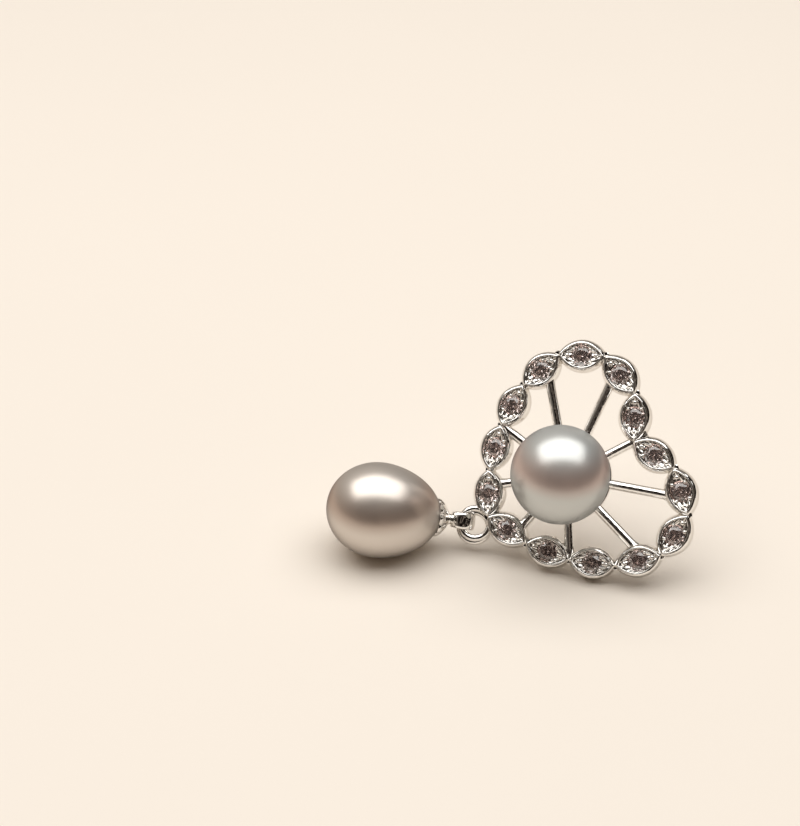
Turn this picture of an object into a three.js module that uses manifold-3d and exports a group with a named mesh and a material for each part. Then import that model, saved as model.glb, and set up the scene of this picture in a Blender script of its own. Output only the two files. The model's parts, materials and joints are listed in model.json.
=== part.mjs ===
// A pearl drop earring: an openwork heart of stone-set settings with a pearl on spokes at its centre, and a
// pearl drop on a ring at its point. It lies as it comes to rest: the heart leans back on its ear post and on
// one setting of its lower lobe, and the drop lies beside it and holds the ring up with its loop.
//
// The heart is drawn in its own frame: x runs from the hub away from the heart's point, y across it and z out
// of its face, with z = 0 at the front edge of the settings. The drop has its own frame too: x runs from the
// pearl's widest place to the link, y across the flat loop and z through the loop's height.

import * as THREE from 'three';
import { mergeVertices } from 'three/addons/utils/BufferGeometryUtils.js';
import Module from 'manifold-3d';

const wasm = await Module();
wasm.setup();

// Driving dimensions, in millimetres. The outline of one half of the heart is a row of joints between
// settings: along is a share of the heart's length from its point, across a share of half its width.
const heartLength = 16.0;
const heartWidth = 19.1;
const hubFromPoint = 7.6;
const frameDepth = 1.4;
const heartJoints = [
  { along: 0, across: 0 },
  { along: 0.12, across: 0.367 },
  { along: 0.287, across: 0.673 },
  { along: 0.49, across: 0.902 },
  { along: 0.731, across: 1 },
  { along: 0.949, across: 0.792 },
  { along: 1, across: 0.373 },
  { along: 0.877, across: 0 },
];

// Settings: a pointed oval with a thin raised edge, a wall that bulges outside it and a stone plate inside.
const settingGap = 0.42;
const settingWidth = 2.15;
const edgeWidth = 0.13;
const wallBulge = 0.3;
const plateDepth = 0.32;
const plateInset = 0.07;
const edgePointedness = 1.75;
const wallPointedness = 1.5;
// The wall's sections from its back to its front edge: down is a share of frameDepth, out of wallBulge.
const wallSections = [
  { down: 1, out: 0.72 },
  { down: 0.74, out: 1 },
  { down: 0.42, out: 0.86 },
  { down: 0.14, out: 0.5 },
];

// Stones and the grains at both ends of a setting.
const stoneDiameter = 1.72;
const tableDiameter = 0.97;
const tableSides = 8;
const crownHeight = 0.24;
const girdleHeight = 0.05;
const pavilionDepth = 0.7;
const stoneClearance = 0.03;
const grainDiameter = 0.42;
const grainSpacing = 2.45;

// Posts between settings, and the spokes. A spoke runs to a joint or to the inner wall of a setting, where
// shift is the share of the setting's length by which it meets the wall beyond the middle.
const jointOverlap = 0.17;
const jointLength = 0.8;
const spokeDiameter = 0.82;
const spokeDepth = 0.68;
const notchStub = 1.3;
const spokeEnds = [
  { setting: 0, shift: 0.23 },
  { joint: 2 },
  { setting: 3, shift: 0 },
  { setting: 5, shift: 0 },
];

// Centre pearl, its dish and peg, and the ear post. Between its floor and its rim the dish passes dishMiddle,
// in shares of the rim's radius and of dishRise.
const buttonDiameter = 8.3;
const pearlClearance = 0.05;
const dishDiameter = 7.7;
const dishFloorDepth = 0.9;
const dishRise = 0.55;
const dishMiddle = { out: 0.55, up: 0.3 };
const dishWall = 0.34;
const dishEdge = 0.2;
const padDiameter = 2.8;
const pegDiameter = 0.9;
const pegLength = 3;
const postDiameter = 0.8;
const postLength = 10.8;

// Ring at the heart's point: two turns of wire, of which the back one lies a little lower.
const ringDiameter = 2.56;
const ringWire = 0.6;
const ringSolder = 0.26;
const backTurn = { along: -0.25, across: -0.2, down: 0.32 };

// Drop pearl: an oval that narrows towards its cap. Its outline there is the curve 1 - share ^ dropBluntness.
const dropDiameter = 8.18;
const dropOuterLength = 4.45;
const dropCapLength = 5.5;
const dropBluntness = 1.85;

// Cap of the drop. Its sections run from the rim to the neck: along is a share of capLength, out of the
// rim's radius, flute of fluteDepth.
const capDiameter = 3.32;
const capWall = 0.16;
const capLength = 1.02;
const fluteDepth = 0.17;
const fluteCount = 8;
const capSections = [
  { along: 0, out: 1, flute: 1 },
  { along: 0.25, out: 0.97, flute: 1 },
  { along: 0.55, out: 0.83, flute: 0.8 },
  { along: 0.82, out: 0.61, flute: 0.5 },
  { along: 1, out: 0.4, flute: 0 },
];
const dropPegLength = 2.4;
const neckDiameter = 0.95;
const neckLength = 0.3;

// Flat loop of the drop, narrow at the neck and wide where it hangs in the ring.
const loopLength = 2.2;
const loopHeight = 2.0;
const loopThickness = 0.34;
const loopWidth = 1.45;
const loopRootWidth = 1.3;
const linkClearance = 0.3;

// How it lies, in degrees: headings are from +X, dropSlope is how far the drop's axis falls towards the ring,
// and linkAngle is where the loop crosses the ring, from the ring's far side. The lower lobe rests on the
// mirror image of the setting restSetting.
const heartHeading = 7.6;
const dropHeading = 7;
const dropSlope = 12;
const linkAngle = 38;
const restSetting = 2;

// How finely round shapes are cut, and how far a cutting shape reaches past what it cuts.
const roundSides = 16;
const pinSides = 10;
const wireSides = 6;
const grainRings = 4;
const ovalPoints = 20;
const overcut = 0.3;
const restSteps = 24;

const silver = new THREE.MeshStandardMaterial({ color: 0xd9d6d0, metalness: 1, roughness: 0.12 });
const greyPearl = new THREE.MeshStandardMaterial({ color: 0xa59e9b, metalness: 0.1, roughness: 0.22 });
const taupePearl = new THREE.MeshStandardMaterial({ color: 0xb0a195, metalness: 0.1, roughness: 0.22 });
const clearStone = new THREE.MeshStandardMaterial({ color: 0xe9e2e0, metalness: 0, roughness: 0.02 });

// The joints of the upper half in the heart's frame.
const joints = heartJoints.map(({ along, across }) => new THREE.Vector2(
  along * heartLength - hubFromPoint,
  across * heartWidth / 2,
));

function mirrored(point) {
  return new THREE.Vector2(point.x, -point.y);
}

// All settings, from the heart's point along the upper lobe to the notch and back along the lower lobe.
function settingPlaces() {
  const upper = joints.slice(1).map((end, i) => ({ start: joints[i], end }));
  const lower = upper.map(({ start, end }) => ({ start: mirrored(end), end: mirrored(start) })).reverse();
  return [...upper, ...lower].map(({ start, end }) => {
    const along = end.clone().sub(start);
    return {
      centre: start.clone().add(end).multiplyScalar(0.5),
      length: along.length() - settingGap,
      turn: along.angle(),
    };
  });
}

const settings = settingPlaces();

function settingMatrix({ centre, turn }) {
  return new THREE.Matrix4().makeRotationZ(turn).setPosition(centre.x, centre.y, 0);
}

// A closed mesh through rings of points that turn left as seen from the last ring; ends are flat and convex,
// unless the last ring joins the first.
function loft(rings, endless = false) {
  const count = rings[0].length;
  const index = [];
  const last = (rings.length - 1) * count;
  for (let i = 0; i < (endless ? rings.length : rings.length - 1); i += 1) {
    const a = i * count;
    const b = ((i + 1) % rings.length) * count;
    for (let j = 0; j < count; j += 1) {
      const k = (j + 1) % count;
      index.push(a + j, a + k, b + k, a + j, b + k, b + j);
    }
  }
  for (let j = 1; j < count - 1 && !endless; j += 1) {
    index.push(0, j + 1, j, last, last + j, last + j + 1);
  }
  const geometry = new THREE.BufferGeometry();
  const points = rings.flat().flatMap((point) => point.toArray());
  geometry.setAttribute('position', new THREE.Float32BufferAttribute(points, 3));
  geometry.setIndex(index);
  return geometry;
}

// The solid inside a closed geometry.
function solidOf(geometry) {
  const bare = geometry.clone();
  bare.deleteAttribute('normal');
  bare.deleteAttribute('uv');
  const merged = mergeVertices(bare, 1e-5);
  const corners = merged.index.array;
  const triangles = [];
  for (let i = 0; i < corners.length; i += 3) {
    const [a, b, c] = corners.slice(i, i + 3);
    if (a !== b && b !== c && c !== a) triangles.push(a, b, c);
  }
  return new wasm.Manifold(new wasm.Mesh({
    numProp: 3,
    vertProperties: new Float32Array(merged.attributes.position.array),
    triVerts: new Uint32Array(triangles),
  }));
}

function union(solids) {
  return solids.reduce((all, solid) => all.add(solid));
}

function meshOf(name, solid, material) {
  const { numProp, vertProperties, triVerts } = solid.getMesh();
  const points = new Float32Array(vertProperties.length / numProp * 3);
  for (let i = 0; i < points.length; i += 1) {
    points[i] = vertProperties[Math.floor(i / 3) * numProp + i % 3];
  }
  const geometry = new THREE.BufferGeometry();
  geometry.setAttribute('position', new THREE.BufferAttribute(points, 3));
  geometry.setIndex(new THREE.BufferAttribute(new Uint32Array(triVerts), 1));
  geometry.computeVertexNormals();
  const mesh = new THREE.Mesh(geometry, material);
  mesh.name = name;
  return mesh;
}

// A solid turned about the z axis from [radius, height] pairs that start and end on the axis.
function turned(profile, sides) {
  const points = profile.map(([radius, height]) => new THREE.Vector2(radius, height));
  return new THREE.LatheGeometry(points, sides).rotateX(Math.PI / 2);
}

// A round bar between two points.
function bar(from, to, diameter, sides = pinSides) {
  const along = to.clone().sub(from);
  const geometry = new THREE.CylinderGeometry(diameter / 2, diameter / 2, along.length(), sides);
  const turn = new THREE.Quaternion().setFromUnitVectors(
    new THREE.Vector3(0, 1, 0),
    along.clone().normalize(),
  );
  const middle = from.clone().add(to).multiplyScalar(0.5);
  return geometry.applyQuaternion(turn).translate(middle.x, middle.y, middle.z);
}

// A pointed oval: pointedness 1 is an ellipse and 2 a pair of arcs that meet in points.
function oval(length, width, pointedness, z) {
  return Array.from({ length: ovalPoints }, (_, i) => {
    const angle = i / ovalPoints * 2 * Math.PI;
    const side = Math.sign(Math.sin(angle)) * Math.abs(Math.sin(angle)) ** pointedness;
    return new THREE.Vector3(length / 2 * Math.cos(angle), width / 2 * side, z);
  });
}

function settingBody(length) {
  const wall = wallSections.map(({ down, out }) => {
    const grow = 2 * (edgeWidth / 2 + wallBulge * out);
    return oval(length + grow, settingWidth + grow, wallPointedness, -down * frameDepth);
  });
  const inset = edgeWidth + 2 * plateInset;
  return loft([
    ...wall,
    oval(length + edgeWidth, settingWidth + edgeWidth, edgePointedness, 0),
    oval(length - edgeWidth, settingWidth - edgeWidth, edgePointedness, 0),
    oval(length - inset, settingWidth - inset, edgePointedness, -plateDepth),
  ]);
}

// The stone's girdle lies level with the stone plate.
const girdleTop = -plateDepth;
const girdleBottom = girdleTop - girdleHeight;

// A round stone: a flat table, stars, kites and upper girdle facets, a girdle and a pointed pavilion.
function brilliant() {
  const radius = stoneDiameter / 2;
  const table = tableDiameter / 2;
  const sides = 2 * tableSides;
  const step = 2 * Math.PI / sides;
  const starRadius = (radius + table) / 2;
  const kiteSlope = crownHeight / (radius - table);
  const starHeight = girdleTop + kiteSlope * (radius - starRadius * Math.cos(step));
  const corner = (size, i, z) => new THREE.Vector3(size * Math.cos(i * step), size * Math.sin(i * step), z);
  const points = [];
  for (let i = 0; i < sides; i += 1) {
    points.push(corner(radius, i, girdleTop), corner(radius, i, girdleBottom));
    points.push(i % 2 ? corner(starRadius, i, starHeight) : corner(table, i, girdleTop + crownHeight));
  }
  const top = (i) => 3 * (i % sides);
  const bottom = (i) => top(i) + 1;
  const upper = (i) => top(i) + 2;
  const tip = points.length;
  points.push(new THREE.Vector3(0, 0, girdleBottom - pavilionDepth));
  const index = [];
  for (let i = 0; i < sides; i += 2) {
    index.push(upper(i), upper(i + 1), upper(i + 2));
    index.push(upper(i), top(i), upper(i + 1), upper(i + 1), top(i + 2), upper(i + 2));
    index.push(upper(i + 1), top(i), top(i + 1), upper(i + 1), top(i + 1), top(i + 2));
    if (i > 0 && i < sides - 2) index.push(upper(0), upper(i), upper(i + 2));
  }
  for (let i = 0; i < sides; i += 1) {
    index.push(top(i), bottom(i), bottom(i + 1), top(i), bottom(i + 1), top(i + 1));
    index.push(bottom(i), tip, bottom(i + 1));
  }
  const geometry = new THREE.BufferGeometry();
  const numbers = points.flatMap((point) => point.toArray());
  geometry.setAttribute('position', new THREE.Float32BufferAttribute(numbers, 3));
  geometry.setIndex(index);
  return geometry;
}

// The hollow that a stone sits in, open to the front.
function stoneSeat() {
  const radius = stoneDiameter / 2 + stoneClearance;
  const slope = pavilionDepth / (stoneDiameter / 2);
  return turned([
    [0, girdleBottom - slope * radius],
    [radius, girdleBottom - stoneClearance],
    [radius, overcut],
    [0, overcut],
  ], 2 * tableSides);
}

function grains() {
  return [-1, 1].map((side) => new THREE.SphereGeometry(grainDiameter / 2, pinSides, grainRings)
    .rotateX(Math.PI / 2)
    .translate(side * grainSpacing / 2, 0, -plateDepth));
}

// Where a spoke meets the heart: on a joint, or in the edge of a setting's inner wall.
function spokeEnd({ joint, setting, shift }) {
  if (joint !== undefined) return joints[joint];
  const { centre, length, turn } = settings[setting];
  const inwards = new THREE.Vector2(Math.sin(turn), -Math.cos(turn));
  const halfWidth = settingWidth / 2 * (1 - (2 * shift) ** 2) ** (edgePointedness / 2);
  const forward = new THREE.Vector2(Math.cos(turn), Math.sin(turn)).multiplyScalar(shift * length);
  return centre.clone().add(forward).add(inwards.multiplyScalar(halfWidth));
}

function spokes() {
  const upper = spokeEnds.map(spokeEnd);
  const notch = joints.at(-1).clone().add(new THREE.Vector2(notchStub, 0));
  const hub = new THREE.Vector3(0, 0, -spokeDepth);
  return [...upper, ...upper.map(mirrored), notch].map(({ x, y }) => {
    const outer = new THREE.Vector3(x, y, -spokeDepth);
    const inner = outer.clone().sub(hub).setLength(padDiameter / 2).add(hub);
    return bar(inner, outer, spokeDiameter);
  });
}

// Short posts that solder each setting to the next.
function jointPosts() {
  const around = [...joints, ...joints.slice(1, -1).map(mirrored)];
  const diameter = settingGap + 2 * jointOverlap;
  return around.map(({ x, y }) => bar(
    new THREE.Vector3(x, y, -spokeDepth - jointLength / 2),
    new THREE.Vector3(x, y, -spokeDepth + jointLength / 2),
    diameter,
  ));
}

// The pearl's back stands off the dish's floor by the clearance.
const buttonCentre = buttonDiameter / 2 + pearlClearance - dishFloorDepth;

function dishBody() {
  const rim = dishDiameter / 2;
  const back = -dishFloorDepth - dishWall;
  const top = dishRise - dishFloorDepth;
  return turned([
    [0, back],
    [rim * dishMiddle.out, back + dishRise * dishMiddle.up],
    [rim, top - dishWall],
    [rim, top],
    [0, top],
  ], roundSides);
}

// The space over the dish's floor, up to the level of its rim and clear of the spokes' ends.
function dishHollow() {
  const rim = dishDiameter / 2 - dishEdge;
  return turned([
    [0, -dishFloorDepth],
    [rim * dishMiddle.out, dishRise * dishMiddle.up - dishFloorDepth],
    [rim, dishRise - dishFloorDepth],
    [rim, overcut],
    [0, overcut],
  ], roundSides);
}

function earPost() {
  const tip = -frameDepth - postLength;
  const root = dishFloorDepth + dishWall / 2;
  return [
    bar(new THREE.Vector3(0, 0, -frameDepth), new THREE.Vector3(0, 0, -root), padDiameter, roundSides),
    bar(new THREE.Vector3(0, 0, tip), new THREE.Vector3(0, 0, -root), postDiameter),
  ];
}

function buttonPeg(clearance) {
  return bar(
    new THREE.Vector3(0, 0, -dishFloorDepth - dishWall / 2),
    new THREE.Vector3(0, 0, pegLength - dishFloorDepth + clearance),
    pegDiameter + 2 * clearance,
  );
}

// The ring's centre and the direction of its far side, away from the heart.
const ringCentre = new THREE.Vector3(
  joints[0].x - (ringDiameter + ringWire) / 2 + ringSolder,
  0,
  -spokeDepth,
);

function pointRing() {
  const shift = new THREE.Vector3(backTurn.along, backTurn.across, -backTurn.down);
  return [ringCentre, ringCentre.clone().add(shift)].map(({ x, y, z }) => new THREE
    .TorusGeometry(ringDiameter / 2, ringWire / 2, wireSides, roundSides)
    .translate(x, y, z));
}

function heartFrame() {
  const placed = (geometry, setting) => solidOf(geometry.applyMatrix4(settingMatrix(setting)));
  const bodies = settings.map((setting) => placed(settingBody(setting.length), setting));
  const seats = settings.map((setting) => placed(stoneSeat(), setting));
  const beads = settings.flatMap((setting) => grains().map((grain) => placed(grain, setting)));
  const metal = union([
    ...bodies,
    ...[...jointPosts(), ...spokes(), dishBody(), ...earPost(), ...pointRing()].map(solidOf),
  ]);
  const cut = [...seats, solidOf(dishHollow())].reduce((all, hollow) => all.subtract(hollow), metal);
  return union([cut, ...beads, solidOf(buttonPeg(0))]);
}

function buttonPearl() {
  const pearl = new THREE.SphereGeometry(buttonDiameter / 2, roundSides, 12)
    .rotateX(Math.PI / 2)
    .translate(0, 0, buttonCentre);
  return solidOf(pearl).subtract(solidOf(buttonPeg(pearlClearance)));
}

// The drop pearl's radius at a place along its axis, grown by a clearance.
function dropRadius(along, clearance) {
  const reach = (along < 0 ? dropOuterLength : dropCapLength) + clearance;
  const share = Math.min(1, Math.abs(along) / reach);
  return (dropDiameter / 2 + clearance) * Math.sqrt(1 - share ** (along < 0 ? 2 : dropBluntness));
}

function dropShape(clearance) {
  const steps = 7;
  const profile = [];
  for (let i = -steps; i <= steps; i += 1) {
    const reach = (i < 0 ? dropOuterLength : dropCapLength) + clearance;
    const along = reach * Math.sin(i / steps * Math.PI / 2);
    profile.push([Math.abs(i) === steps ? 0 : dropRadius(along, clearance), along]);
  }
  return turned(profile, roundSides).rotateY(Math.PI / 2);
}

// The rim sits where the pearl has narrowed to the cap's inner radius.
const capInner = capDiameter / 2 - capWall - pearlClearance;
const capRim = dropCapLength * (1 - (2 * capInner / dropDiameter) ** 2) ** (1 / dropBluntness);
const neckStart = capRim + capLength;
const loopStart = neckStart + neckLength;

function capBody() {
  const sides = 2 * fluteCount;
  const ring = (radius, flute, x) => Array.from({ length: sides }, (_, i) => {
    const angle = i / sides * 2 * Math.PI;
    const size = radius - (i % 2) * flute * fluteDepth;
    return new THREE.Vector3(x, size * Math.cos(angle), size * Math.sin(angle));
  });
  const rim = capDiameter / 2;
  return loft(capSections.map(({ along, out, flute }) => ring(rim * out, flute, capRim + along * capLength)));
}

function dropPeg(clearance) {
  return bar(
    new THREE.Vector3(dropCapLength - dropPegLength - clearance, 0, 0),
    new THREE.Vector3(neckStart, 0, 0),
    pegDiameter + 2 * clearance,
  );
}

function neck() {
  return bar(
    new THREE.Vector3(neckStart - overcut, 0, 0),
    new THREE.Vector3(loopStart + loopThickness / 2, 0, 0),
    neckDiameter,
  );
}

function loop() {
  const halfLength = (loopLength - loopThickness) / 2;
  const halfHeight = (loopHeight - loopThickness) / 2;
  const centre = loopStart + loopLength / 2;
  const section = [[0.5, 0], [0.3, -0.5], [-0.3, -0.5], [-0.5, 0], [-0.3, 0.5], [0.3, 0.5]];
  const rings = Array.from({ length: roundSides }, (_, i) => {
    const angle = i / roundSides * 2 * Math.PI;
    const cosine = Math.cos(angle);
    const sine = Math.sin(angle);
    const outwards = new THREE.Vector3(cosine / halfLength, 0, sine / halfHeight).normalize();
    const width = loopRootWidth + (loopWidth - loopRootWidth) * Math.sqrt((1 + cosine) / 2);
    const middle = new THREE.Vector3(centre + halfLength * cosine, 0, halfHeight * sine);
    return section.map(([across, out]) => outwards.clone()
      .multiplyScalar(out * loopThickness)
      .add(middle)
      .add(new THREE.Vector3(0, across * width, 0)));
  });
  return loft(rings, true);
}

function dropCap() {
  const cap = solidOf(capBody()).subtract(solidOf(dropShape(pearlClearance)));
  return union([cap, solidOf(dropPeg(0)), solidOf(neck()), solidOf(loop())]);
}

function dropPearl() {
  return solidOf(dropShape(0)).subtract(solidOf(dropPeg(pearlClearance)));
}

// The point of a geometry that lies lowest along an upward direction.
function lowest(geometry, up) {
  const { position } = geometry.attributes;
  let best = null;
  for (let i = 0; i < position.count; i += 1) {
    const point = new THREE.Vector3().fromBufferAttribute(position, i);
    if (!best || point.dot(up) < best.dot(up)) best = point;
  }
  return best;
}

// The turn that takes x, y and z to three given axes.
function turnOf(x, y, z) {
  return new THREE.Quaternion().setFromRotationMatrix(new THREE.Matrix4().makeBasis(x, y, z));
}

// Where the loop crosses the ring's wire, and the wire's direction there, in the heart's frame.
const crossing = THREE.MathUtils.degToRad(linkAngle);
const crossingPoint = new THREE.Vector3(-Math.cos(crossing), Math.sin(crossing), 0)
  .multiplyScalar(ringDiameter / 2)
  .add(ringCentre);
const crossingLine = new THREE.Vector3(Math.sin(crossing), Math.cos(crossing), 0);

// The distance from the drop pearl's widest place to the ring's wire.
const linkReach = loopStart + loopThickness + linkClearance + ringWire / 2;

// Turns the heart until one setting and the post's tip touch the surface and the crossing point lies at a
// height over it.
function layHeart(group, crossingHeight) {
  const footing = settings[settings.length - 1 - restSetting];
  const feet = [settingBody(footing.length).applyMatrix4(settingMatrix(footing)), earPost()[1]];
  let up = new THREE.Vector3(1, 1, 1).normalize();
  for (let i = 0; i < restSteps; i += 1) {
    const [a, b] = feet.map((foot) => lowest(foot, up));
    const c = crossingPoint.clone().addScaledVector(up, -crossingHeight);
    up = b.sub(a).cross(c.sub(a)).normalize();
    if (up.z < 0) up.negate();
  }
  const forward = new THREE.Vector3(1, 0, 0).projectOnPlane(up).normalize();
  const levelled = turnOf(forward, up.clone().cross(forward), up).invert();
  const heading = THREE.MathUtils.degToRad(heartHeading);
  group.quaternion.setFromAxisAngle(new THREE.Vector3(0, 0, 1), heading).multiply(levelled);
  group.position.set(0, 0, -lowest(feet[0], up).dot(up));
  group.updateMatrixWorld(true);
}

// Lays the drop on the surface with its axis on the crossing point, and its loop square to the wire there.
// Gives the height over the surface at which its axis then passes the crossing point.
function layDrop(group, pearl, heart) {
  const heading = THREE.MathUtils.degToRad(dropHeading);
  const slope = THREE.MathUtils.degToRad(dropSlope);
  const axis = new THREE.Vector3(Math.cos(heading), Math.sin(heading), -Math.tan(slope)).normalize();
  const wire = crossingPoint.clone().applyMatrix4(heart.matrixWorld);
  const wireLine = crossingLine.clone().transformDirection(heart.matrixWorld);
  const across = wireLine.projectOnPlane(axis).normalize();
  group.quaternion.copy(turnOf(axis, across, axis.clone().cross(across)));
  const up = new THREE.Vector3(0, 0, 1).applyQuaternion(group.quaternion.clone().invert());
  const height = -lowest(pearl.geometry, up).dot(up);
  group.position.copy(wire).addScaledVector(axis, -linkReach);
  group.position.z = height;
  return height + linkReach * axis.z;
}

const heart = new THREE.Group();
heart.add(meshOf('heart_frame', heartFrame(), silver));
settings.forEach((setting, i) => {
  const name = `stone_${String(i + 1).padStart(2, '0')}`;
  const stone = meshOf(name, solidOf(brilliant()), clearStone);
  stone.position.set(setting.centre.x, setting.centre.y, 0);
  stone.rotation.z = setting.turn;
  heart.add(stone);
});
heart.add(meshOf('button_pearl', buttonPearl(), greyPearl));

const drop = new THREE.Group();
const pearl = meshOf('drop_pearl', dropPearl(), taupePearl);
drop.add(pearl);
drop.add(meshOf('drop_cap', dropCap(), silver));

// The heart's lean and the drop's turn settle on each other.
let crossingHeight = 0;
for (let i = 0; i < restSteps; i += 1) {
  layHeart(heart, crossingHeight);
  crossingHeight = layDrop(drop, pearl, heart);
}

// The whole earring, with its origin under the middle of its box.
const earring = new THREE.Group();
earring.add(heart, drop);
const box = new THREE.Box3().setFromObject(earring, true);
const middle = box.getCenter(new THREE.Vector3());
earring.children.forEach((group) => group.position.sub(new THREE.Vector3(middle.x, middle.y, box.min.z)));

export default earring;
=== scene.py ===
# %% [markdown]
# # A pearl drop earring on a pale surface
#
# The earring is an openwork heart of silver. Fourteen small settings, each with one clear stone, follow its
# outline, and nine spokes carry a dish with a round grey pearl. A taupe pearl hangs on a ring at the heart's
# point. The CAD part gives every place and size, but its faces are plain and flat. This script builds the
# same pieces again in the same places, with the fine shapes and the materials that the eye expects.

import json
import math

import bmesh
import bpy
from mathutils import Matrix, Vector

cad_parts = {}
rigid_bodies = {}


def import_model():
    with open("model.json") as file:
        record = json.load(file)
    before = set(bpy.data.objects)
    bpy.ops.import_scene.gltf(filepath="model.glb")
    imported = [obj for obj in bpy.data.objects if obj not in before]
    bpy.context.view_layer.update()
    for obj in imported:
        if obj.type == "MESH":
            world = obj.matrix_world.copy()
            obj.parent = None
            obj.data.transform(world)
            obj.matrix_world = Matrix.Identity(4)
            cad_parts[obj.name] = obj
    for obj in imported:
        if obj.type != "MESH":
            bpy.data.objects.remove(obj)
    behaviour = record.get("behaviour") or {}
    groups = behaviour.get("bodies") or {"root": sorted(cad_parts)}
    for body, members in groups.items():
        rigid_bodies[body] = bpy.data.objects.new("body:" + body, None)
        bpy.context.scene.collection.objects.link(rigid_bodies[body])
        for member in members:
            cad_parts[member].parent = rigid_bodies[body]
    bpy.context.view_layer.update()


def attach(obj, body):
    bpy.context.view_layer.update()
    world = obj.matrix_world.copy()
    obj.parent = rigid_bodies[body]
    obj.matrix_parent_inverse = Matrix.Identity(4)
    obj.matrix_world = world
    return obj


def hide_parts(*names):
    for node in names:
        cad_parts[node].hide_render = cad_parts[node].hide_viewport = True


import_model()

# %% [markdown]
# ## Camera
#
# A camera that stands close to a small object sees it in strong perspective. It could be placed by eye. Here
# its place, its turn and its lens come from a fit to the tips of the fourteen settings, so the perspective is
# right too. It stands about 15 centimetres away, on the side that the heart faces, and looks down at 33
# degrees.

# %% Camera
CAMERA_PLACE = (-0.01011, -0.12361, 0.09293)
CAMERA_TURN = (56.894, -1.343, 0.641)

camera_data = bpy.data.cameras.new("camera")
camera_data.sensor_width = 36
camera_data.lens = 76.48
camera_data.clip_start = 0.01
camera = bpy.data.objects.new("camera", camera_data)
camera.location = CAMERA_PLACE
camera.rotation_euler = [math.radians(turn) for turn in CAMERA_TURN]
bpy.context.scene.collection.objects.link(camera)
bpy.context.scene.camera = camera
bpy.context.scene.view_settings.view_transform = "Standard"
print("camera", round(1000 * camera.location.length), "mm from the origin")

# %% [markdown]
# ## Two frames
#
# The heart leans back on its ear post and the drop lies askew, so nothing runs along the room's axes. Each
# point could be turned by itself. It is easier to draw the heart and the drop in frames of their own, in
# millimetres, and to move each finished mesh with one matrix. The heart's x runs from the hub away from its
# point, y across it and z out of its face. The drop's x runs along its axis to the link.

# %% Frames of the heart and the drop
MM = 0.001


def own_frame(x, y, z, origin):
    """The matrix from a frame in millimetres to the earring's in metres."""
    turn = Matrix((x, y, z)).transposed().to_4x4()
    turn.translation = origin
    return Matrix.Scale(MM, 4) @ turn


HEART = own_frame(
    (0.85696, 0.11434, 0.50254), (-0.45753, 0.61763, 0.63969), (-0.23724, -0.77811, 0.58160),
    (4.6094, -1.5382, 7.4207),
)
DROP = own_frame(
    (0.97086, 0.11921, -0.20791), (0.10952, 0.55098, 0.82730), (0.21317, -0.82596, 0.52187),
    (-11.2582, -2.5368, 4.0731),
)
for name, own in (("heart", HEART), ("drop", DROP)):
    print(name, "at", [round(place / MM, 2) for place in own.translation], "mm")

# %% [markdown]
# ## Mesh helpers
#
# Wire, turned bodies and cast cups have one thing in common: each is a row of rings of points with faces
# between them. Primitives and modifiers could make some of them. One loft function makes them all, keeps the
# sizes exact and leaves no hole.

# %% Loft through rings
MERGE_DISTANCE = 1e-5
SHARP_ANGLE = math.radians(35)
ROUND_SIDES = 96
BAR_SIDES = 24
LOOP_STEPS = 64
WIRE_SIDES = 20


def finished(bm):
    """The mesh of bm with its doubles merged, its normals outwards and its sharp edges kept."""
    bmesh.ops.remove_doubles(bm, verts=bm.verts, dist=MERGE_DISTANCE)
    bmesh.ops.recalc_face_normals(bm, faces=bm.faces)
    mesh = bpy.data.meshes.new("piece")
    bm.to_mesh(mesh)
    bm.free()
    mesh.shade_smooth()
    mesh.set_sharp_from_angle(angle=SHARP_ANGLE)
    return mesh


def loft(rings, endless=False):
    """A closed mesh through rings of points."""
    count = len(rings[0])
    bm = bmesh.new()
    rows = [[bm.verts.new(point) for point in ring] for ring in rings]
    for a in range(len(rows) if endless else len(rows) - 1):
        near, far = rows[a], rows[(a + 1) % len(rows)]
        for i in range(count):
            j = (i + 1) % count
            bm.faces.new((near[i], near[j], far[j], far[i]))
    if not endless:
        bm.faces.new(rows[0][::-1])
        bm.faces.new(rows[-1])
    return finished(bm)


def joined(meshes):
    bm = bmesh.new()
    for mesh in meshes:
        bm.from_mesh(mesh)
    whole = bpy.data.meshes.new("joined")
    bm.to_mesh(whole)
    bm.free()
    return whole


# %% Turned bodies, smooth rows and balls
def spun(profile, sides, x=(1, 0, 0), y=(0, 1, 0), z=(0, 0, 1), origin=(0, 0, 0)):
    """A body turned about z from (radius, height) pairs."""
    x, y, z, origin = map(Vector, (x, y, z, origin))
    rings = []
    for radius, height in profile:
        ring = []
        for i in range(sides):
            angle = 2 * math.pi * i / sides
            ring.append(origin + z * height + (x * math.cos(angle) + y * math.sin(angle)) * radius)
        rings.append(ring)
    return loft(rings)


def smooth_row(points, steps):
    """A Catmull-Rom row through the points, with steps between each two."""
    ends = [points[0]] + list(points) + [points[-1]]
    row = []
    for a, b, c, d in zip(ends, ends[1:], ends[2:], ends[3:]):
        for k in range(steps):
            t = k / steps
            row.append(tuple(
                0.5 * (2 * q + (r - p) * t + (2 * p - 5 * q + 4 * r - s) * t * t
                       + (3 * q - p - 3 * r + s) * t ** 3)
                for p, q, r, s in zip(a, b, c, d)
            ))
    return row + [tuple(points[-1])]


def ball_profile(diameter, rows):
    """Half a circle of (radius, height) pairs from pole to pole."""
    turns = [math.pi * i / rows for i in range(rows + 1)]
    return [(diameter / 2 * math.sin(turn), -diameter / 2 * math.cos(turn)) for turn in turns]


def ball(diameter, centre, sides, rows):
    return spun(ball_profile(diameter, rows), sides, origin=centre)
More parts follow.
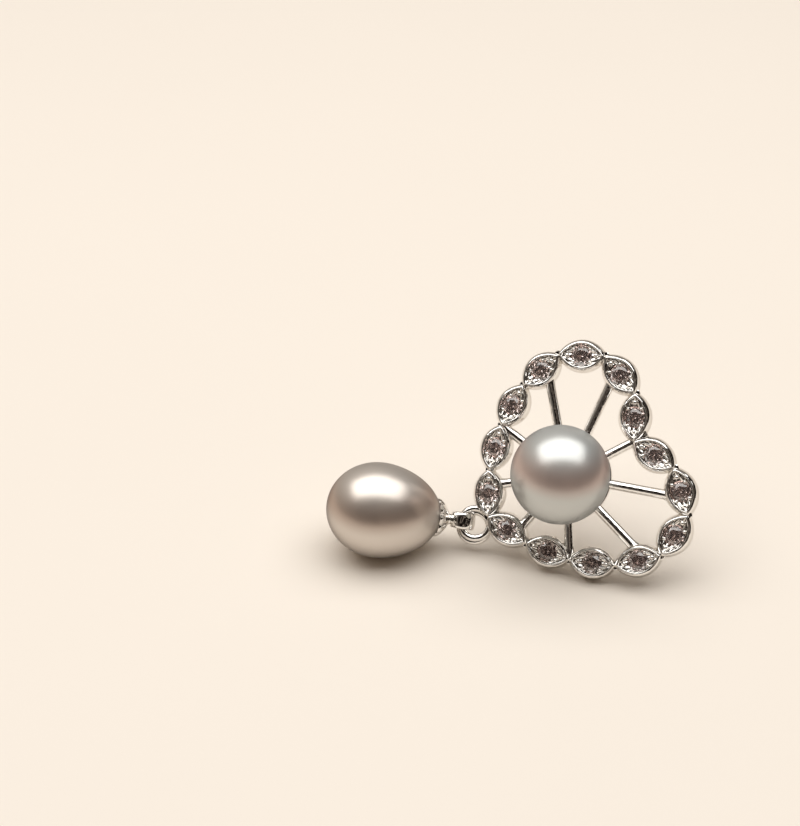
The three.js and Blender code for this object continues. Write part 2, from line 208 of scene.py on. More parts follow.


# %% [markdown]
# ## Materials
#
# Each finish is one Principled shader, because that is what another program can read from a model. A colour
# is given as it looks on screen, and one function turns it into light values. A pattern's scale comes from
# the real size of its details, in millimetres.

# %% Material helpers
def colour(code):
    """The light values of an sRGB hex colour."""
    values = [int(code[i:i + 2], 16) / 255 for i in (1, 3, 5)]
    return [v / 12.92 if v <= 0.04045 else ((v + 0.055) / 1.055) ** 2.4 for v in values] + [1]


def scale_of(millimetres):
    return 1 / (millimetres * MM)


def add(material, kind, settings=None, links=None, **values):
    """A node with its settings, its socket values and the sockets that feed it."""
    node = material.node_tree.nodes.new(kind)
    for name, value in (settings or {}).items():
        setattr(node, name, value)
    for name, value in values.items():
        node.inputs[name.replace("_", " ")].default_value = value
    for name, source in (links or {}).items():
        material.node_tree.links.new(source, node.inputs[name])
    return node


def mixed(material, share, first, second):
    """A colour between two hex colours, where a socket gives the second one's share."""
    node = add(material, "ShaderNodeMix", {"data_type": "RGBA"}, {"Factor": share})
    node.inputs["A"].default_value = colour(first)
    node.inputs["B"].default_value = colour(second)
    return node.outputs["Result"]


def new_material(name):
    material = bpy.data.materials.new(name)
    material.use_nodes = True
    material.node_tree.nodes.clear()
    place = add(material, "ShaderNodeTexCoord").outputs["Object"]
    return material, place


def finish_material(material, shader):
    output = add(material, "ShaderNodeOutputMaterial")
    material.node_tree.links.new(shader.outputs["BSDF"], output.inputs["Surface"])
    print(material.name, len(material.node_tree.nodes), "nodes")
    return material


# %% [markdown]
# ### Rhodium-plated silver
#
# The heart is cast, polished and plated, so the eye sees a mirror of the pale room and the dark things in it.
# A perfect mirror would look like a drawing. Polishing by hand leaves the surface slightly wavy and a little
# hazy, and both come from noise: the waves bend the reflections on the spokes. A darker tint at grazing
# angles keeps the edges of the walls clear against the pale surface.

# %% Silver
def plated_silver():
    material, place = new_material("rhodium-plated silver")
    haze = add(material, "ShaderNodeTexNoise", links={"Vector": place}, Scale=scale_of(0.9), Detail=3)
    rough = add(
        material, "ShaderNodeMapRange", links={"Value": haze.outputs["Fac"]}, To_Min=0.04, To_Max=0.13,
    )
    waves = add(material, "ShaderNodeTexNoise", links={"Vector": place}, Scale=scale_of(0.6), Detail=2)
    bump = add(
        material, "ShaderNodeBump", links={"Height": waves.outputs["Fac"]}, Strength=0.8, Distance=0.04 * MM,
    )
    shader = add(
        material, "ShaderNodeBsdfPrincipled",
        links={"Roughness": rough.outputs["Result"], "Normal": bump.outputs["Normal"]},
        Base_Color=colour("#F4F2EF"), Metallic=1, Specular_Tint=colour("#DAD7D4"),
    )
    return finish_material(material, shader)


silver = plated_silver()

# %% [markdown]
# ### Cubic zirconia
#
# The stones are clear and cut flat. Their strong refraction breaks the light into small bright and dark
# facets, with a breath of pink. An image of facets would look the same from everywhere, so the stones are
# real cut shapes, and the material is only clear glass with zirconia's refraction.

# %% Zirconia
def zirconia():
    material, place = new_material("cubic zirconia")
    trace = add(material, "ShaderNodeTexNoise", links={"Vector": place}, Scale=scale_of(1.5))
    shader = add(
        material, "ShaderNodeBsdfPrincipled",
        links={"Base Color": mixed(material, trace.outputs["Fac"], "#FFE3DE", "#FFF2EC")},
        Roughness=0.0, IOR=2.16, Transmission_Weight=0.94,
    )
    return finish_material(material, shader)


zirconia_glass = zirconia()

# %% [markdown]
# ### Pearl nacre
#
# Nacre is thousands of thin layers, grown over one another, that send light back from a little below the
# surface. The eye sees a soft body colour, a broad satin reflection of the room and, over both, a clearer
# highlight. Where the pearl faces the camera, above its middle, it mirrors the dark side of the room, and
# that dark band is also painted into the body colour as a darker, warmer belt: painted shade. Real layers
# can't be traced, so the shader is partly a mirror of the body colour, with a thin coat for the highlight. A
# dark tint at grazing angles gives the rim of the pearl its depth.

# %% Nacre
# half the height of the painted shade belt, in millimetres
SHADE_BELT_WIDTH = 1.8


def painted_shade_share(material, place, shade_belt_height):
    """A socket that is 1 at the painted shade belt's height in millimetres and fades to 0 above and below it.
    """
    height = add(material, "ShaderNodeSeparateXYZ", links={"Vector": place}).outputs["Z"]
    share = add(material, "ShaderNodeMath", {"operation": "MINIMUM"})
    for side, edge in enumerate((-SHADE_BELT_WIDTH, SHADE_BELT_WIDTH)):
        half = add(
            material, "ShaderNodeMapRange", {"interpolation_type": "SMOOTHSTEP"}, {"Value": height},
            From_Min=(shade_belt_height + edge) * MM, From_Max=shade_belt_height * MM,
        )
        material.node_tree.links.new(half.outputs["Result"], share.inputs[side])
    return share.outputs["Value"]


def nacre(name, body, painted_shade, shade_belt_height, mirror):
    material, place = new_material(name)
    # painted shade: the base colour turns darker and warmer in a belt, where the pearl mirrors the dark room
    tone = mixed(material, painted_shade_share(material, place, shade_belt_height), body, painted_shade)
    cloud = add(material, "ShaderNodeTexNoise", links={"Vector": place}, Scale=scale_of(3), Detail=2)
    rough = add(
        material, "ShaderNodeMapRange", links={"Value": cloud.outputs["Fac"]}, To_Min=0.3, To_Max=0.36,
    )
    skin = add(material, "ShaderNodeTexNoise", links={"Vector": place}, Scale=scale_of(1.6), Detail=0)
    bump = add(
        material, "ShaderNodeBump", links={"Height": skin.outputs["Fac"]}, Strength=0.3, Distance=0.01 * MM,
    )
    shader = add(
        material, "ShaderNodeBsdfPrincipled",
        links={"Base Color": tone, "Roughness": rough.outputs["Result"], "Normal": bump.outputs["Normal"]},
        Metallic=mirror, Specular_Tint=colour("#3F3838"),
        Coat_Weight=0.08, Coat_Roughness=0.2, Coat_IOR=1.6,
    )
    return finish_material(material, shader)


# each pearl's second colour is its painted shade belt, set at the height where it faces the camera
grey_nacre = nacre("silver-grey pearl nacre", "#D1D3D1", "#CEBBB3", shade_belt_height=11.1, mirror=0.62)
taupe_nacre = nacre("taupe pearl nacre", "#DCD4CC", "#C2B0A4", shade_belt_height=5.8, mirror=0.72)

# %% [markdown]
# ## The heart's outline
#
# On the real heart the settings stand tip to tip, and their tips trace the outline. A curve through fourteen
# copies would let the tips drift. Here a row of joints gives one half of the outline as shares of its length
# and half width, and the other half is its mirror image. Between every two joints lies one setting, and a
# small gap is left for the solder post that holds it to its neighbours.

# %% Places of the settings
HEART_LENGTH = 16
HEART_WIDTH = 19.1
HUB_FROM_POINT = 7.6
SETTING_GAP = 0.42
HALF_OUTLINE = [
    (0, 0), (0.12, 0.367), (0.287, 0.673), (0.49, 0.902),
    (0.731, 1), (0.949, 0.792), (1, 0.373), (0.877, 0),
]
upper_joints = [
    Vector((along * HEART_LENGTH - HUB_FROM_POINT, across * HEART_WIDTH / 2))
    for along, across in HALF_OUTLINE
]


def mirrored(point):
    return Vector((point.x, -point.y))


upper = list(zip(upper_joints, upper_joints[1:]))
chords = upper + [(mirrored(end), mirrored(start)) for start, end in reversed(upper)]
settings = [
    ((start + end) / 2, (end - start).length - SETTING_GAP, math.atan2(*(end - start).yx))
    for start, end in chords
]
standard_length = sum(length for _, length, _ in settings) / len(settings)
print(len(settings), "settings, lengths", [round(length, 2) for _, length, _ in settings[:7]])

# %% [markdown]
# ## Repeating a piece round the outline
#
# Settings and stones repeat fourteen times. A Python loop could copy them. Geometry Nodes say the same as a
# rule: put the piece on every point, turned and stretched as the point's attributes say. The tree makes the
# copies real and gives them their material, because an export would lose bare copies.

# %% The tree of nodes
def round_tree():
    tree = bpy.data.node_groups.new("round the outline", "GeometryNodeTree")
    sockets = {}
    for name, kind, way in (
        ("Geometry", "NodeSocketGeometry", "INPUT"), ("Piece", "NodeSocketObject", "INPUT"),
        ("Material", "NodeSocketMaterial", "INPUT"), ("Geometry", "NodeSocketGeometry", "OUTPUT"),
    ):
        sockets[name, way] = tree.interface.new_socket(name, in_out=way, socket_type=kind).identifier
    nodes, link = tree.nodes, tree.links.new
    given = nodes.new("NodeGroupInput")
    result = nodes.new("NodeGroupOutput")
    piece = nodes.new("GeometryNodeObjectInfo")
    link(given.outputs["Piece"], piece.inputs["Object"])
    place = nodes.new("GeometryNodeInstanceOnPoints")
    link(given.outputs["Geometry"], place.inputs["Points"])
    link(piece.outputs["Geometry"], place.inputs["Instance"])
    for attribute, axis, target in (("turn", "Z", "Rotation"), ("stretch", "X", "Scale")):
        named = nodes.new("GeometryNodeInputNamedAttribute")
        named.data_type = "FLOAT"
        named.inputs["Name"].default_value = attribute
        combine = nodes.new("ShaderNodeCombineXYZ")
        if target == "Scale":
            combine.inputs["Y"].default_value = combine.inputs["Z"].default_value = 1
        link(named.outputs["Attribute"], combine.inputs[axis])
        link(combine.outputs["Vector"], place.inputs[target])
    real = nodes.new("GeometryNodeRealizeInstances")
    link(place.outputs["Instances"], real.inputs["Geometry"])
    paint = nodes.new("GeometryNodeSetMaterial")
    link(real.outputs["Geometry"], paint.inputs["Geometry"])
    link(given.outputs["Material"], paint.inputs["Material"])
    link(paint.outputs["Geometry"], result.inputs["Geometry"])
    return tree, sockets


outline_tree, outline_sockets = round_tree()
print(outline_tree.name, len(outline_tree.nodes), "nodes")


# %% One plain mesh from the tree
def round_outline(piece_mesh, material, stretches):
    """The mesh of a piece repeated at every setting, in the heart's frame."""
    scene = bpy.context.scene.collection.objects
    piece = bpy.data.objects.new("pattern", piece_mesh)
    points = bpy.data.meshes.new("points")
    points.from_pydata([(*centre, 0) for centre, _, _ in settings], [], [])
    for name, values in (("turn", [turn for _, _, turn in settings]), ("stretch", stretches)):
        points.attributes.new(name, "FLOAT", "POINT").data.foreach_set("value", values)
    holder = bpy.data.objects.new("holder", points)
    for made in (piece, holder):
        scene.link(made)
    modifier = holder.modifiers.new("repeat", "NODES")
    modifier.node_group = outline_tree
    modifier[outline_sockets["Piece", "INPUT"]] = piece
    modifier[outline_sockets["Material", "INPUT"]] = material
    shown = holder.evaluated_get(bpy.context.evaluated_depsgraph_get())
    mesh = bpy.data.meshes.new_from_object(shown)
    for made in (piece, holder):
        bpy.data.objects.remove(made)
    return mesh


def place_piece(name, mesh, own, material, slot, *nodes):
    """Puts a mesh of the heart's or drop's frame in the scene in the place of CAD nodes."""
    mesh.transform(own)
    mesh.materials.clear()
    mesh.materials.append(material)
    piece = bpy.data.objects.new(name, mesh)
    bpy.context.scene.collection.objects.link(piece)
    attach(piece, "root")
    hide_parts(*nodes)
    print(name, sum(len(face.vertices) - 2 for face in mesh.polygons), "triangles")
    return piece


# %% [markdown]
# ## One setting
#
# A setting is a pointed oval cup, cast in one piece, with bright cuts made round the stone by a graver. A
# cube under a Subdivision Surface would round its tips away. A loft through pointed ovals keeps them: up the
# bulging wall, over a thin rounded rim, down to the plate and into the hollow for the stone.

# %% Sizes of a setting
OVAL_POINTS = 120
WALL_POINTEDNESS = 1.5
RIM_POINTEDNESS = 1.75
SETTING_WIDTH = 2.15
DEPTH = 1.4
BULGE = 0.3
EDGE = 0.13
EDGE_ROUND = 0.02
PLATE = 0.32
PLATE_INSET = 0.07
PLATE_CORNER = 0.05
STONE = 1.72
CLEARANCE = 0.03
PAVILION = 0.7
SEAT = STONE / 2 + CLEARANCE
SEAT_WALL = 0.1
SEAT_BOTTOM = 0.02

plate_length = standard_length - EDGE - 2 * PLATE_INSET
plate_width = SETTING_WIDTH - EDGE - 2 * PLATE_INSET
print("plate inside the rim", round(plate_length, 2), "by", round(plate_width, 2), "mm")


# %% Cup of a setting
def oval(length, width, pointedness, z):
    """A ring of points, round at pointedness 1 and with sharper tips above it."""
    ring = []
    for i in range(OVAL_POINTS):
        angle = 2 * math.pi * i / OVAL_POINTS
        side = math.copysign(abs(math.sin(angle)) ** pointedness, math.sin(angle))
        ring.append(Vector((length / 2 * math.cos(angle), width / 2 * side, z)))
    return ring


# shares of the bulge and of the depth, from the back up to the rim
WALL = ((0.6, 1), (0.76, 0.97), (1, 0.74), (0.86, 0.42), (0.5, 0.14), (0.08, 0.02))


def setting_body():
    wall = smooth_row([(EDGE + 2 * BULGE * out, -down * DEPTH) for out, down in WALL], 4)
    rings = [oval(standard_length + grow, SETTING_WIDTH + grow, WALL_POINTEDNESS, z) for grow, z in wall]
    for grow, z in ((EDGE, -EDGE_ROUND), (EDGE / 2, 0), (-EDGE / 2, 0), (-EDGE, -EDGE_ROUND)):
        rings.append(oval(standard_length + grow, SETTING_WIDTH + grow, RIM_POINTEDNESS, z))
    rings.append(oval(plate_length, plate_width, RIM_POINTEDNESS, -PLATE + PLATE_CORNER))
    rings.append(oval(plate_length - 0.06, plate_width - 0.02, RIM_POINTEDNESS, -PLATE))
    floor_of_wall = -PLATE - SEAT_WALL
    for radius, z in ((SEAT, -PLATE), (SEAT, floor_of_wall), (SEAT_BOTTOM, floor_of_wall - PAVILION)):
        rings.append(oval(2 * radius, 2 * radius, 1, z))
    return loft(rings)


# %% [markdown]
# The bright cuts leave ridges that run from the rim to the stone. Twelve booleans for each setting could cut
# the hollows between them, and would leave slivers. A wave in the plate's height gives the same ridges, and
# its points lie close enough for round crests.

# %% Bright cuts
CUTS = 12
CUT_ROWS = 6
CUT_LIFT = 0.01
CUT_FOOT = Vector((0, 0, -0.06))
SLOPE_RISE = 0.06
RIDGE_RISE = 0.16
RIDGE_REACH = 0.6


def bright_cuts():
    """The fluted slope between the rim and the stone."""
    outer = oval(plate_length, plate_width, RIM_POINTEDNESS, -PLATE)
    inner = oval(2 * SEAT, 2 * SEAT, 1, -PLATE)
    rings = [[point + CUT_FOOT for point in outer]]
    for k in range(CUT_ROWS + 1):
        share = k / CUT_ROWS
        arch = math.sin(math.pi * (0.1 + 0.8 * share))
        ring = []
        for i, (far, near) in enumerate(zip(outer, inner)):
            width = (far - near).length
            wave = 0.5 + 0.5 * math.cos(2 * math.pi * CUTS * i / OVAL_POINTS)
            slope = SLOPE_RISE * width * (1 - share) ** 1.5
            ridge = RIDGE_RISE * min(width, RIDGE_REACH) * wave * arch
            ring.append(far.lerp(near, share) + Vector((0, 0, slope + ridge + CUT_LIFT)))
        rings.append(ring)
    rings.append([point + CUT_FOOT for point in inner])
    return loft(rings, endless=True)


# %% [markdown]
# Beads of metal, pushed up with a tool, hold the stone: a large one at each tip and four small ones at the
# stone's edge.

# %% Beads and all fourteen settings
TIP_BEAD = 0.42
TIP_BEAD_PLACE = 1.225
TIP_BEAD_RISE = 0.12
EDGE_BEAD = 0.3
EDGE_BEAD_ANGLES = (38, 142, 218, 322)
EDGE_BEAD_RISE = 0.08
EDGE_BEAD_PLACE = STONE / 2 + 0.02


def held_beads():
    meshes = [
        ball(TIP_BEAD, (side * TIP_BEAD_PLACE, 0, -PLATE + TIP_BEAD_RISE), 20, 10) for side in (-1, 1)
    ]
    for turn in map(math.radians, EDGE_BEAD_ANGLES):
        x, y = EDGE_BEAD_PLACE * math.cos(turn), EDGE_BEAD_PLACE * math.sin(turn)
        meshes.append(ball(EDGE_BEAD, (x, y, -PLATE + EDGE_BEAD_RISE), 14, 8))
    return meshes


setting = joined([setting_body(), bright_cuts()] + held_beads())
stretches = [length / standard_length for _, length, _ in settings]
metal = [round_outline(setting, silver, stretches)]
print("fourteen settings", len(metal[0].vertices), "points")

# %% [markdown]
# ## One stone
#
# A round brilliant has a flat table with stars, kites and upper girdle facets round it, a thin girdle, and a
# pavilion of eight mains and sixteen lower facets. A smooth cone would show one blurred reflection. The true
# facets, left flat, each catch the light by themselves.

# %% Brilliant
CROWN = 0.24
TABLE = 0.97
GIRDLE = 0.05
MAIN_FACET_START = 0.32


def brilliant():
    radius, table, step = STONE / 2, TABLE / 2, math.pi / 8
    slope = CROWN / (radius - table)
    star = (radius + table) / 2
    inner = MAIN_FACET_START * radius
    bottom = -PLATE - GIRDLE

    def at(size, i, z):
        return bm.verts.new((size * math.cos(i * step), size * math.sin(i * step), z))

    bm = bmesh.new()
    top = [at(radius, i, -PLATE) for i in range(16)]
    low = [at(radius, i, bottom) for i in range(16)]
    star_height = slope * (radius - star * math.cos(step))
    crown = [
        at(star, i, -PLATE + star_height) if i % 2 else at(table, i, -PLATE + CROWN) for i in range(16)
    ]
    mid = [
        at(inner, i, bottom - PAVILION * (1 - inner * math.cos(step) / radius)) if i % 2 else None
        for i in range(16)
    ]
    tip = bm.verts.new((0, 0, bottom - PAVILION))
    bm.faces.new([crown[i] for i in range(0, 16, 2)])
    for a in range(0, 16, 2):
        b, c = a + 1, (a + 2) % 16
        for face in (
            (crown[a], crown[b], crown[c]), (crown[a], top[a], crown[b]), (crown[b], top[c], crown[c]),
            (crown[b], top[a], top[b]), (crown[b], top[b], top[c]),
            (low[a], mid[b], low[b]), (low[b], mid[b], low[c]), (mid[b], low[c], mid[(b + 2) % 16], tip),
        ):
            bm.faces.new(face)
    for i in range(16):
        j = (i + 1) % 16
        bm.faces.new((top[i], low[i], low[j], top[j]))
    bmesh.ops.recalc_face_normals(bm, faces=bm.faces)
    mesh = bpy.data.meshes.new("brilliant")
    bm.to_mesh(mesh)
    bm.free()
    return mesh


# %% All fourteen stones
stones = round_outline(brilliant(), zirconia_glass, [1] * len(settings))
stone_nodes = [f"stone_{i + 1:02d}" for i in range(len(settings))]
place_piece("stones", stones, HEART, zirconia_glass, "stone", *stone_nodes)

# %% [markdown]
# ## Spokes and solder posts
#
# The spokes are round bars that swell a little where solder holds them to a setting. A plain cylinder with a
# sharp joint would look stuck on, so each bar is turned from a profile with that swelling at its end. A short
# post fills the gap between every two settings.

# %% Spokes
SPOKE = 0.82
SPOKE_DEPTH = 0.68
SPOKE_ROWS = 24
SWELL = 0.3
SWELL_RUN = 0.25
PAD = 2.8
FIRST_SPOKE_SHIFT = 0.23
NOTCH_SPOKE_REACH = Vector((1.3, 0))


def spoke_bar(end):
    x, y = end
    reach = math.hypot(x, y)
    heading = Vector((x, y, 0)).normalized()
    across = Vector((-heading.y, heading.x, 0))
    start = PAD / 2
    profile = []
    for k in range(SPOKE_ROWS + 1):
        distance = start + (reach - start) * k / SPOKE_ROWS
        swell = 1 + SWELL * math.exp(-(reach - distance) / SWELL_RUN)
        profile.append((SPOKE / 2 * swell, distance))
    return spun(profile, BAR_SIDES, across, Vector((0, 0, 1)), heading, (0, 0, -SPOKE_DEPTH))


def wall_end(number, shift):
    """Where a spoke meets the inner wall of a setting, shift of its length beyond its middle."""
    centre, length, turn = settings[number]
    half = SETTING_WIDTH / 2 * (1 - (2 * shift) ** 2) ** (RIM_POINTEDNESS / 2)
    forward, inwards = Vector((math.cos(turn), math.sin(turn))), Vector((math.sin(turn), -math.cos(turn)))
    return centre + forward * shift * length + inwards * half


spoke_ends = [wall_end(0, FIRST_SPOKE_SHIFT), upper_joints[2], wall_end(3, 0), wall_end(5, 0)]
spoke_ends += [mirrored(end) for end in spoke_ends] + [upper_joints[-1] + NOTCH_SPOKE_REACH]
metal += [spoke_bar(end) for end in spoke_ends]
print(len(spoke_ends), "spokes")

# %% Solder posts
SOLDER_POST = SETTING_GAP / 2 + 0.17
SOLDER_NARROW = SOLDER_POST * 0.8
SOLDER_HALF = 0.4
SOLDER_SHOULDER = 0.32

solder_profile = [
    (0, -SOLDER_HALF), (SOLDER_NARROW, -SOLDER_HALF), (SOLDER_POST, -SOLDER_SHOULDER),
    (SOLDER_POST, SOLDER_SHOULDER), (SOLDER_NARROW, SOLDER_HALF), (0, SOLDER_HALF),
]
joints = upper_joints + [mirrored(point) for point in upper_joints[1:-1]]
metal += [spun(solder_profile, BAR_SIDES, origin=(*joint, -SPOKE_DEPTH)) for joint in joints]
print(len(joints), "solder posts")

# %% [markdown]
# ## Dish and ear post
#
# The pearl sits in a shallow dish that was pressed from sheet, with a rounded lip. Behind it, a straight post
# for the ear stands on a small pad. Both are turned bodies, so a profile spun about the hub gives them whole.

# %% Dish
DISH = 3.85
DISH_WALL = 0.34
DISH_FLOOR = -0.9
DISH_BACK = DISH_FLOOR - DISH_WALL
DISH_TOP = -0.35
DISH_RISE = 0.165
LIP_WIDTH = 0.2
# steps of the rounded lip, in radius and height, from the dish's rim
LIP = [(0, -0.1), (-0.03, -0.03), (-0.1, 0), (-0.17, -0.02)]
NEAR_AXIS = 0.01

outside = smooth_row([
    (NEAR_AXIS, DISH_BACK), (DISH * 0.55, DISH_BACK + DISH_RISE), (DISH, DISH_TOP - DISH_WALL),
], 8)
inside = smooth_row([
    (DISH - LIP_WIDTH, DISH_TOP), (DISH * 0.53, DISH_FLOOR + DISH_RISE), (NEAR_AXIS, DISH_FLOOR),
], 8)
lip = [(DISH + out, DISH_TOP + up) for out, up in LIP]
metal.append(spun(outside + lip + inside[1:], ROUND_SIDES))
print("dish", 2 * DISH, "mm wide")

# %% Ear post and pad
POST = 0.8
POST_END = -12.2
PAD_FACE = -1.4
PAD_THICKNESS = 0.4
PAD_BEVEL = 0.04
SOLDER_FILLET = 0.12
# steps of the rounded tip, in radius and height, from the end of the post
POST_TIP = [(0, 0.12), (-0.05, 0.03), (-0.12, 0)]

pad = [
    (0, PAD_FACE + PAD_THICKNESS), (PAD / 2, PAD_FACE + PAD_THICKNESS),
    (PAD / 2, PAD_FACE + PAD_BEVEL), (PAD / 2 - PAD_BEVEL, PAD_FACE),
    (POST / 2 + SOLDER_FILLET, PAD_FACE), (POST / 2, PAD_FACE - SOLDER_FILLET),
]
tip = [(POST / 2 + out, POST_END + up) for out, up in POST_TIP] + [(0, POST_END)]
metal.append(spun(pad + tip, ROUND_SIDES // 2))
print("ear post", round(PAD_FACE - POST_END, 1), "mm long")

# %% [markdown]
# ## Ring at the heart's point
#
# The ring is two turns of wire, soldered into one. A torus would do for each. The same loft makes them, and
# the back turn lies a little lower, so that its edge shows below the front one.

# %% Ring
RING = 2.56
RING_WIRE = 0.6
RING_SOLDER = 0.26
BACK_TURN = Vector((-0.25, -0.2, -0.32))
ring_place = Vector((-HUB_FROM_POINT - (RING + RING_WIRE) / 2 + RING_SOLDER, 0, -SPOKE_DEPTH))


def ring_mesh(centre):
    rings = []
    for i in range(LOOP_STEPS):
        angle = 2 * math.pi * i / LOOP_STEPS
        out = Vector((math.cos(angle), math.sin(angle), 0))
        middle = centre + out * RING / 2
        ring = []
        for k in range(WIRE_SIDES):
            turn = 2 * math.pi * k / WIRE_SIDES
            ring.append(middle + (out * math.cos(turn) + Vector((0, 0, 1)) * math.sin(turn)) * RING_WIRE / 2)
        rings.append(ring)
    return loft(rings, endless=True)


metal += [ring_mesh(ring_place), ring_mesh(ring_place + BACK_TURN)]
place_piece("heart_silver", joined(metal), HEART, silver, "silver", "heart_frame")

# %% [markdown]
# ## The pearls
#
# The centre pearl is a true sphere that stands in the dish. A sphere with few faces would betray itself in
# its outline, so it is turned with ninety-six sides.

# %% Centre pearl
BUTTON = 8.3
GLUE_GAP = 0.05
button_height = BUTTON / 2 + GLUE_GAP + DISH_FLOOR
sphere = [(radius, button_height + height) for radius, height in ball_profile(BUTTON, 64)]
place_piece("centre_pearl", spun(sphere, ROUND_SIDES), HEART, grey_nacre, "grey_pearl", "button_pearl")

# %% [markdown]
# The drop is an oval that narrows towards its cap. Stretching a sphere would make both ends alike, so its
# radius follows one formula on either side of the widest place: half an ellipse outwards, and a longer,
# slightly slimmer curve towards the cap.

# %% Drop pearl
DROP_WIDTH = 8.18
OUTER_LENGTH = 4.45
CAP_LENGTH = 5.5
BLUNTNESS = 1.85


def drop_radius(along):
    length, power = (OUTER_LENGTH, 2) if along < 0 else (CAP_LENGTH, BLUNTNESS)
    return DROP_WIDTH / 2 * math.sqrt(1 - min(1, abs(along) / length) ** power)


drop_profile = []
for i in range(-40, 41):
    along = (OUTER_LENGTH if i < 0 else CAP_LENGTH) * math.sin(math.pi * i / 80)
    drop_profile.append((drop_radius(along), along))
drop_axes = {"x": (0, 1, 0), "y": (0, 0, 1), "z": (1, 0, 0)}
drop_mesh = spun(drop_profile, ROUND_SIDES, **drop_axes)
place_piece("taupe_pearl", drop_mesh, DROP, taupe_nacre, "taupe_pearl", "drop_pearl")

# %% [markdown]
# ## Cap of the drop
#
# A small fluted cap is glued over the pearl's end. Petals could be modelled one by one. They are alike, so a
# wave in the radius presses all the grooves at once, deepest at the rim and gone at the neck.

# %% Cap
CAP = 3.32
CAP_RUN = 1.02
CAP_WALL = 0.16
FLUTE = 0.24
FLUTES = 8
CAP_RIM_ROWS = [(0.02, 0.8, 0.8), (0, 0.97, 1), (0.03, 1, 1)]
CAP_ROWS = [(0.25, 0.97, 1), (0.55, 0.83, 0.8), (0.82, 0.61, 0.5), (1, 0.4, 0)]
cap_inner = CAP / 2 - CAP_WALL - GLUE_GAP
cap_rim = CAP_LENGTH * (1 - (2 * cap_inner / DROP_WIDTH) ** 2) ** (1 / BLUNTNESS)


def cap_mesh():
    """Rings from rows of (share of the run, share of the radius, share of the groove)."""
    rings = []
    for along, out, flute in CAP_RIM_ROWS + smooth_row(CAP_ROWS, 6):
        ring = []
        for i in range(ROUND_SIDES):
            angle = 2 * math.pi * i / ROUND_SIDES
            groove = 1 - abs(math.cos(FLUTES * angle / 2))
            radius = CAP / 2 * out - FLUTE * flute * groove
            x = cap_rim + along * CAP_RUN
            ring.append(Vector((x, radius * math.cos(angle), radius * math.sin(angle))))
        rings.append(ring)
    return loft(rings)


print("cap from", round(cap_rim, 2), "to", round(cap_rim + CAP_RUN, 2), "mm along the drop")

# %% [markdown]
# ## Neck and loop
#
# A short turned neck with a bead joins the cap to a flat loop, which is a little broader where it hangs in
# the ring. A bent strip under a Bevel modifier would come close. The loft follows the oval loop with a
# rounded flat section, so the band closes on itself without a seam.

# %% Loop
LOOP_LENGTH = 2.2
LOOP_HEIGHT = 2.0
LOOP_THICKNESS = 0.34
LOOP_WIDTH = 1.45
LOOP_ROOT = 1.3
LOOP_SQUARENESS = 0.8
neck_start = cap_rim + CAP_RUN
loop_start = neck_start + 0.3


def flattened(value):
    return math.copysign(abs(value) ** LOOP_SQUARENESS, value)


def loop_mesh():
    half_length, half_height = (LOOP_LENGTH - LOOP_THICKNESS) / 2, (LOOP_HEIGHT - LOOP_THICKNESS) / 2
    centre = loop_start + LOOP_LENGTH / 2
    rings = []
    for i in range(LOOP_STEPS):
        angle = 2 * math.pi * i / LOOP_STEPS
        out = Vector((math.cos(angle) / half_length, 0, math.sin(angle) / half_height)).normalized()
        width = LOOP_ROOT + (LOOP_WIDTH - LOOP_ROOT) * math.sqrt((1 + math.cos(angle)) / 2)
        middle = Vector((centre + half_length * math.cos(angle), 0, half_height * math.sin(angle)))
        ring = []
        for k in range(WIRE_SIDES):
            turn = 2 * math.pi * k / WIRE_SIDES
            across = flattened(math.cos(turn)) * width / 2
            thick = flattened(math.sin(turn)) * LOOP_THICKNESS / 2
            ring.append(middle + out * thick + Vector((0, across, 0)))
        rings.append(ring)
    return loft(rings, endless=True)


# %% Neck, and the drop's metal as one piece
NECK = [(0.4, -0.3), (0.42, -0.02), (0.475, 0.06), (0.475, 0.2), (0.4, 0.32), (0.36, 0.47)]

neck_rows = [(0, NECK[0][1])] + smooth_row(NECK, 4) + [(0, NECK[-1][1])]
neck = spun([(radius, neck_start + along) for radius, along in neck_rows], 32, **drop_axes)
place_piece("drop_cap_silver", joined([cap_mesh(), neck, loop_mesh()]), DROP, silver, "silver", "drop_cap")

# %% [markdown]
# ## Surface
#
# The earring lies on a pale matt surface. A pure white plane would burn out under the light, so it is a warm
# cream with a hardly visible change of tone.

# %% Surface
FLOOR_CORNERS = [(-1, -1, 0), (1, -1, 0), (1, 1.5, 0), (-1, 1.5, 0)]

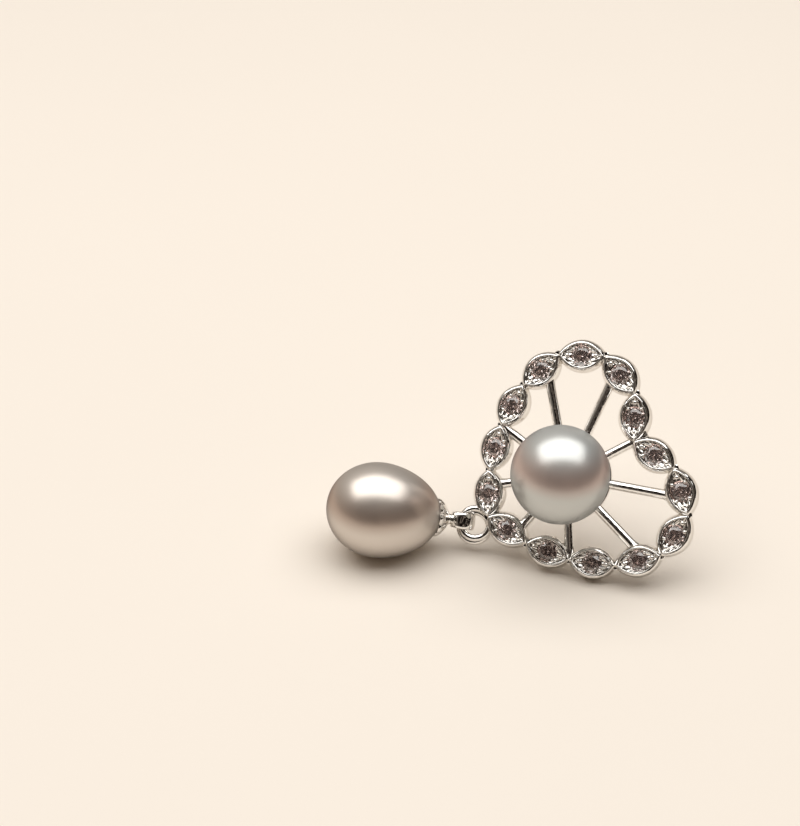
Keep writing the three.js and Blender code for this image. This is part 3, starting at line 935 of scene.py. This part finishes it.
floor_mesh = bpy.data.meshes.new("floor")
floor_mesh.from_pydata(FLOOR_CORNERS, [], [(0, 1, 2, 3)])
floor = bpy.data.objects.new("floor", floor_mesh)
bpy.context.scene.collection.objects.link(floor)
paint, place = new_material("matt cream surface")
grain = add(paint, "ShaderNodeTexNoise", links={"Vector": place}, Scale=scale_of(40))
floor_mesh.materials.append(finish_material(paint, add(
    paint, "ShaderNodeBsdfPrincipled",
    links={"Base Color": mixed(paint, grain.outputs["Fac"], "#F3EADF", "#F1E8DD")}, Roughness=0.6,
)))

# %% [markdown]
# ## Light
#
# Pearls show the shape of the light that shines on them. A small lamp would give them a hard dot, so one
# broad panel hangs overhead and gives the soft oval highlight and the soft shadow.

# %% Light
light_data = bpy.data.lights.new("overhead", "AREA")
light_data.shape = "RECTANGLE"
light_data.size = 0.9
light_data.size_y = 0.5
light_data.energy = 3.55
light_data.color = (1, 0.985, 0.96)
light = bpy.data.objects.new("overhead", light_data)
light.location = (-0.02, 0.07, 0.45)
bpy.context.scene.collection.objects.link(light)
print("light", round(light_data.size, 2), "by", round(light_data.size_y, 2), "m")

# %% [markdown]
# ## Room
#
# Polished silver has hardly a colour of its own: the eye sees what it mirrors. An even grey room would make
# it look like plastic. So one side of the room is pale, and the other is nearly dark with a few lighter
# things in it, which come from noise on the direction of view. The dark side gives the spokes and the walls
# their dark cores, and the lighter things break it up.

# %% Room
PALE_SIDE = (-0.66, 0.75, 0)

world = bpy.data.worlds.new("room")
world.use_nodes = True
sky = world.node_tree.nodes["Background"]
direction = add(world, "ShaderNodeTexCoord").outputs["Generated"]
towards = add(world, "ShaderNodeVectorMath", {"operation": "DOT_PRODUCT"}, {"Vector": direction})
towards.inputs[1].default_value = PALE_SIDE
paleness = add(
    world, "ShaderNodeMapRange", links={"Value": towards.outputs["Value"]}, From_Min=-0.2, From_Max=0.9,
)
things = add(world, "ShaderNodeTexNoise", links={"Vector": direction}, Scale=6, Detail=1)
shown_things = add(
    world, "ShaderNodeMapRange", links={"Value": things.outputs["Fac"]}, From_Min=0.56, From_Max=0.61,
)
room = add(world, "ShaderNodeMix", {"data_type": "RGBA"}, {
    "Factor": paleness.outputs["Result"],
    "A": mixed(world, shown_things.outputs["Result"], "#0F0A07", "#867A70"),
})
room.inputs["B"].default_value = colour("#A59D93")
world.node_tree.links.new(room.outputs["Result"], sky.inputs["Color"])
bpy.context.scene.world = world
print(world.name, len(world.node_tree.nodes), "nodes")
